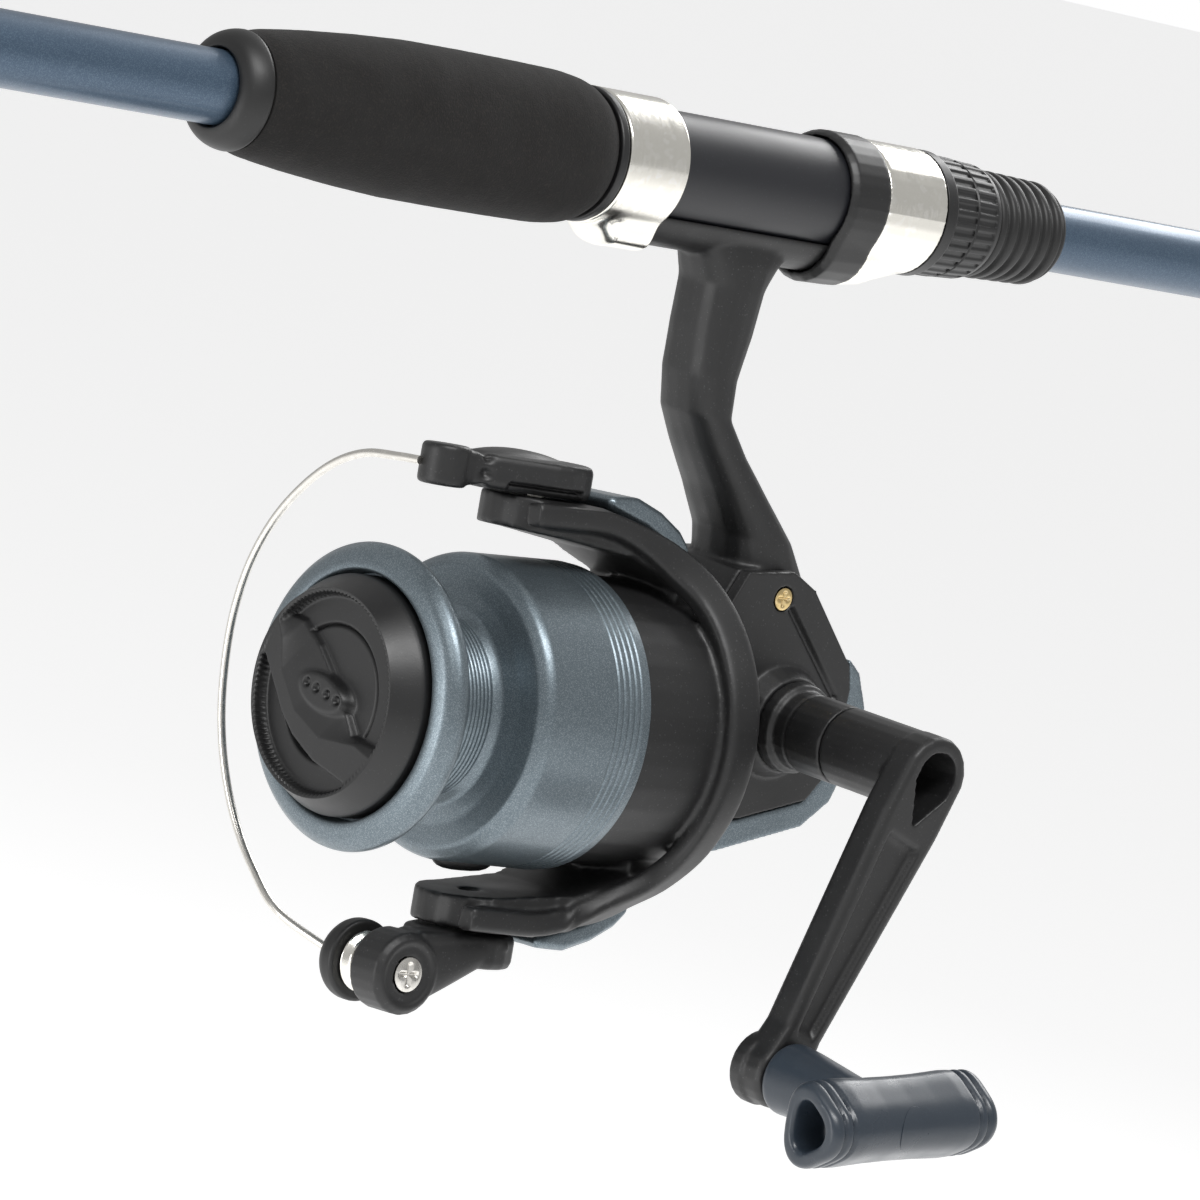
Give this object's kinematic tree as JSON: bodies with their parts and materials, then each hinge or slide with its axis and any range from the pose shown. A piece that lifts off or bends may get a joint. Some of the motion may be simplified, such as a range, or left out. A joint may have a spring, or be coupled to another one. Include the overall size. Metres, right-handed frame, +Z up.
{
  "type": "fishing rod and reel",
  "caption": "Telescopic spinning rod, closed, with a foam foregrip, a screw-lock reel seat and a front-drag spinning reel with a bail, folding crank and T-shaped knob.",
  "frame": {"origin": "on the rod's axis, midway along the reel's foot, where the hand holds the seat", "axes": "+X along the rod from its tip to its butt, +Y away from the crank, +Z up with the reel hanging below the rod"},
  "size_m": [0.5793, 0.1313, 0.1691],
  "materials": {
    "blue_blank": "satin metallic steel blue over a glass-fibre blank",
    "slate_metallic": "slate blue metallic, fine flake",
    "graphite_plastic": "satin, fine grain",
    "black_plastic": "satin",
    "black_tube": "satin",
    "black_rubber": "matte",
    "foam": "matte closed-cell foam",
    "polished_steel": "polished, lightly brushed",
    "nickel_steel": "bright",
    "brass": "bright",
    "slate_plastic": "satin"
  },
  "bodies": {
    "rod": {"handle_blank": "blue_blank", "front_collar": "nickel_steel", "butt_collar": "black_plastic", "butt_cap": "black_rubber", "winding_check": "black_rubber", "foregrip": "foam", "grip_ring": "black_plastic", "seat_tube": "black_tube", "fixed_hood": "polished_steel", "reel_body": "graphite_plastic", "side_cover": "graphite_plastic", "rear_cover": "slate_metallic", "cover_screw_1": "brass", "cover_screw_2": "brass", "pinion_bearing": "nickel_steel", "one_way_clutch": "nickel_steel", "crank_bearing_near": "nickel_steel", "crank_bearing_far": "nickel_steel"},
    "section_2": {"rod_section_2": "blue_blank", "guide_2": "nickel_steel"},
    "section_3": {"rod_section_3": "blue_blank", "guide_3": "nickel_steel"},
    "section_4": {"rod_section_4": "blue_blank", "guide_4": "nickel_steel"},
    "section_5": {"rod_section_5": "blue_blank", "guide_5": "nickel_steel"},
    "hood": {"hood_collar": "black_plastic", "sliding_hood": "polished_steel"},
    "nut": {"locking_nut": "black_plastic", "nut_grip": "black_rubber"},
    "lever": {"anti_reverse_lever": "black_plastic"},
    "rotor": {"rotor": "graphite_plastic", "arm_cover_top": "slate_metallic", "arm_cover_bottom": "slate_metallic", "bail_screw_top": "nickel_steel", "bail_screw_bottom": "nickel_steel", "rotor_nut": "brass", "pinion": "brass"},
    "bail": {"bail_arm": "graphite_plastic", "roller_arm": "graphite_plastic", "bail_wire": "nickel_steel", "roller_cap": "black_rubber", "roller_screw": "nickel_steel"},
    "roller": {"line_roller": "polished_steel"},
    "shaft": {"main_shaft": "nickel_steel", "shaft_slider": "brass", "drag_plate": "nickel_steel"},
    "spool": {"spool": "slate_metallic", "line_clip": "black_plastic", "drag_washer": "foam"},
    "drag": {"drag_knob": "black_plastic"},
    "crank": {"drive_gear": "nickel_steel", "crank_shank": "graphite_plastic", "shaft_cap": "black_plastic", "fold_pin": "nickel_steel"},
    "crank_arm": {"crank_arm": "graphite_plastic", "knob_spindle": "nickel_steel"},
    "knob": {"handle_knob": "slate_plastic", "knob_plug": "slate_plastic"}
  },
  "joints": [
    {"name": "section_2_slide", "type": "slide", "parent": "rod", "child": "section_2", "axis": [-1, 0, 0], "range_m": [0, 0.45]},
    {"name": "section_3_slide", "type": "slide", "parent": "section_2", "child": "section_3", "axis": [-1, 0, 0], "range_m": [0, 0.45]},
    {"name": "section_4_slide", "type": "slide", "parent": "section_3", "child": "section_4", "axis": [-1, 0, 0], "range_m": [0, 0.45]},
    {"name": "section_5_slide", "type": "slide", "parent": "section_4", "child": "section_5", "axis": [-1, 0, 0], "range_m": [0, 0.45]},
    {"name": "hood_slide", "type": "slide", "parent": "rod", "child": "hood", "axis": [1, 0, 0], "range_m": [0, 0.014]},
    {"name": "nut_turn", "type": "hinge", "parent": "hood", "child": "nut", "pos_m": [0.05, 0, 0], "axis": [1, 0, 0], "range_deg": [0, 2520]},
    {"name": "lever_swing", "type": "hinge", "parent": "rod", "child": "lever", "pos_m": [0.022, 0, -0.1165], "axis": [0, 0, 1], "range_deg": [-18, 18]},
    {"name": "crank_turn", "type": "hinge", "parent": "rod", "child": "crank", "pos_m": [0.0275, 0, -0.0921], "axis": [0, 1, 0], "continuous": true},
    {"name": "rotor_turn", "type": "hinge", "parent": "rod", "child": "rotor", "pos_m": [0, 0, -0.0973], "axis": [1, 0, 0], "continuous": true},
    {"name": "bail_flip", "type": "hinge", "parent": "rotor", "child": "bail", "pos_m": [-0.0272, 0, -0.0973], "axis": [0, 0.0767, 0.9971], "range_deg": [0, 96]},
    {"name": "roller_spin", "type": "hinge", "parent": "bail", "child": "roller", "pos_m": [-0.046, -0.00001, -0.14303], "axis": [0, 0.9971, -0.0767], "continuous": true},
    {"name": "shaft_stroke", "type": "slide", "parent": "rod", "child": "shaft", "axis": [1, 0, 0], "range_m": [-0.005, 0.006]},
    {"name": "spool_spin", "type": "hinge", "parent": "shaft", "child": "spool", "pos_m": [-0.04, 0, -0.0973], "axis": [1, 0, 0], "continuous": true},
    {"name": "drag_turn", "type": "hinge", "parent": "shaft", "child": "drag", "pos_m": [-0.06, 0, -0.0973], "axis": [1, 0, 0], "range_deg": [0, 1080]},
    {"name": "crank_fold", "type": "hinge", "parent": "crank", "child": "crank_arm", "pos_m": [0.03069, -0.0344, -0.09329], "axis": [0.3486, 0, 0.9373], "range_deg": [0, 90]},
    {"name": "knob_spin", "type": "hinge", "parent": "crank_arm", "child": "knob", "pos_m": [0.00735, -0.0795, -0.14627], "axis": [0, 1, 0], "continuous": true}
  ],
  "couplings": [
    {"joint": "rotor_turn", "follows": "crank_turn", "ratio": 5},
    {"joint": "hood_slide", "follows": "nut_turn", "m_per_rad": 0.00031831}
  ]
}
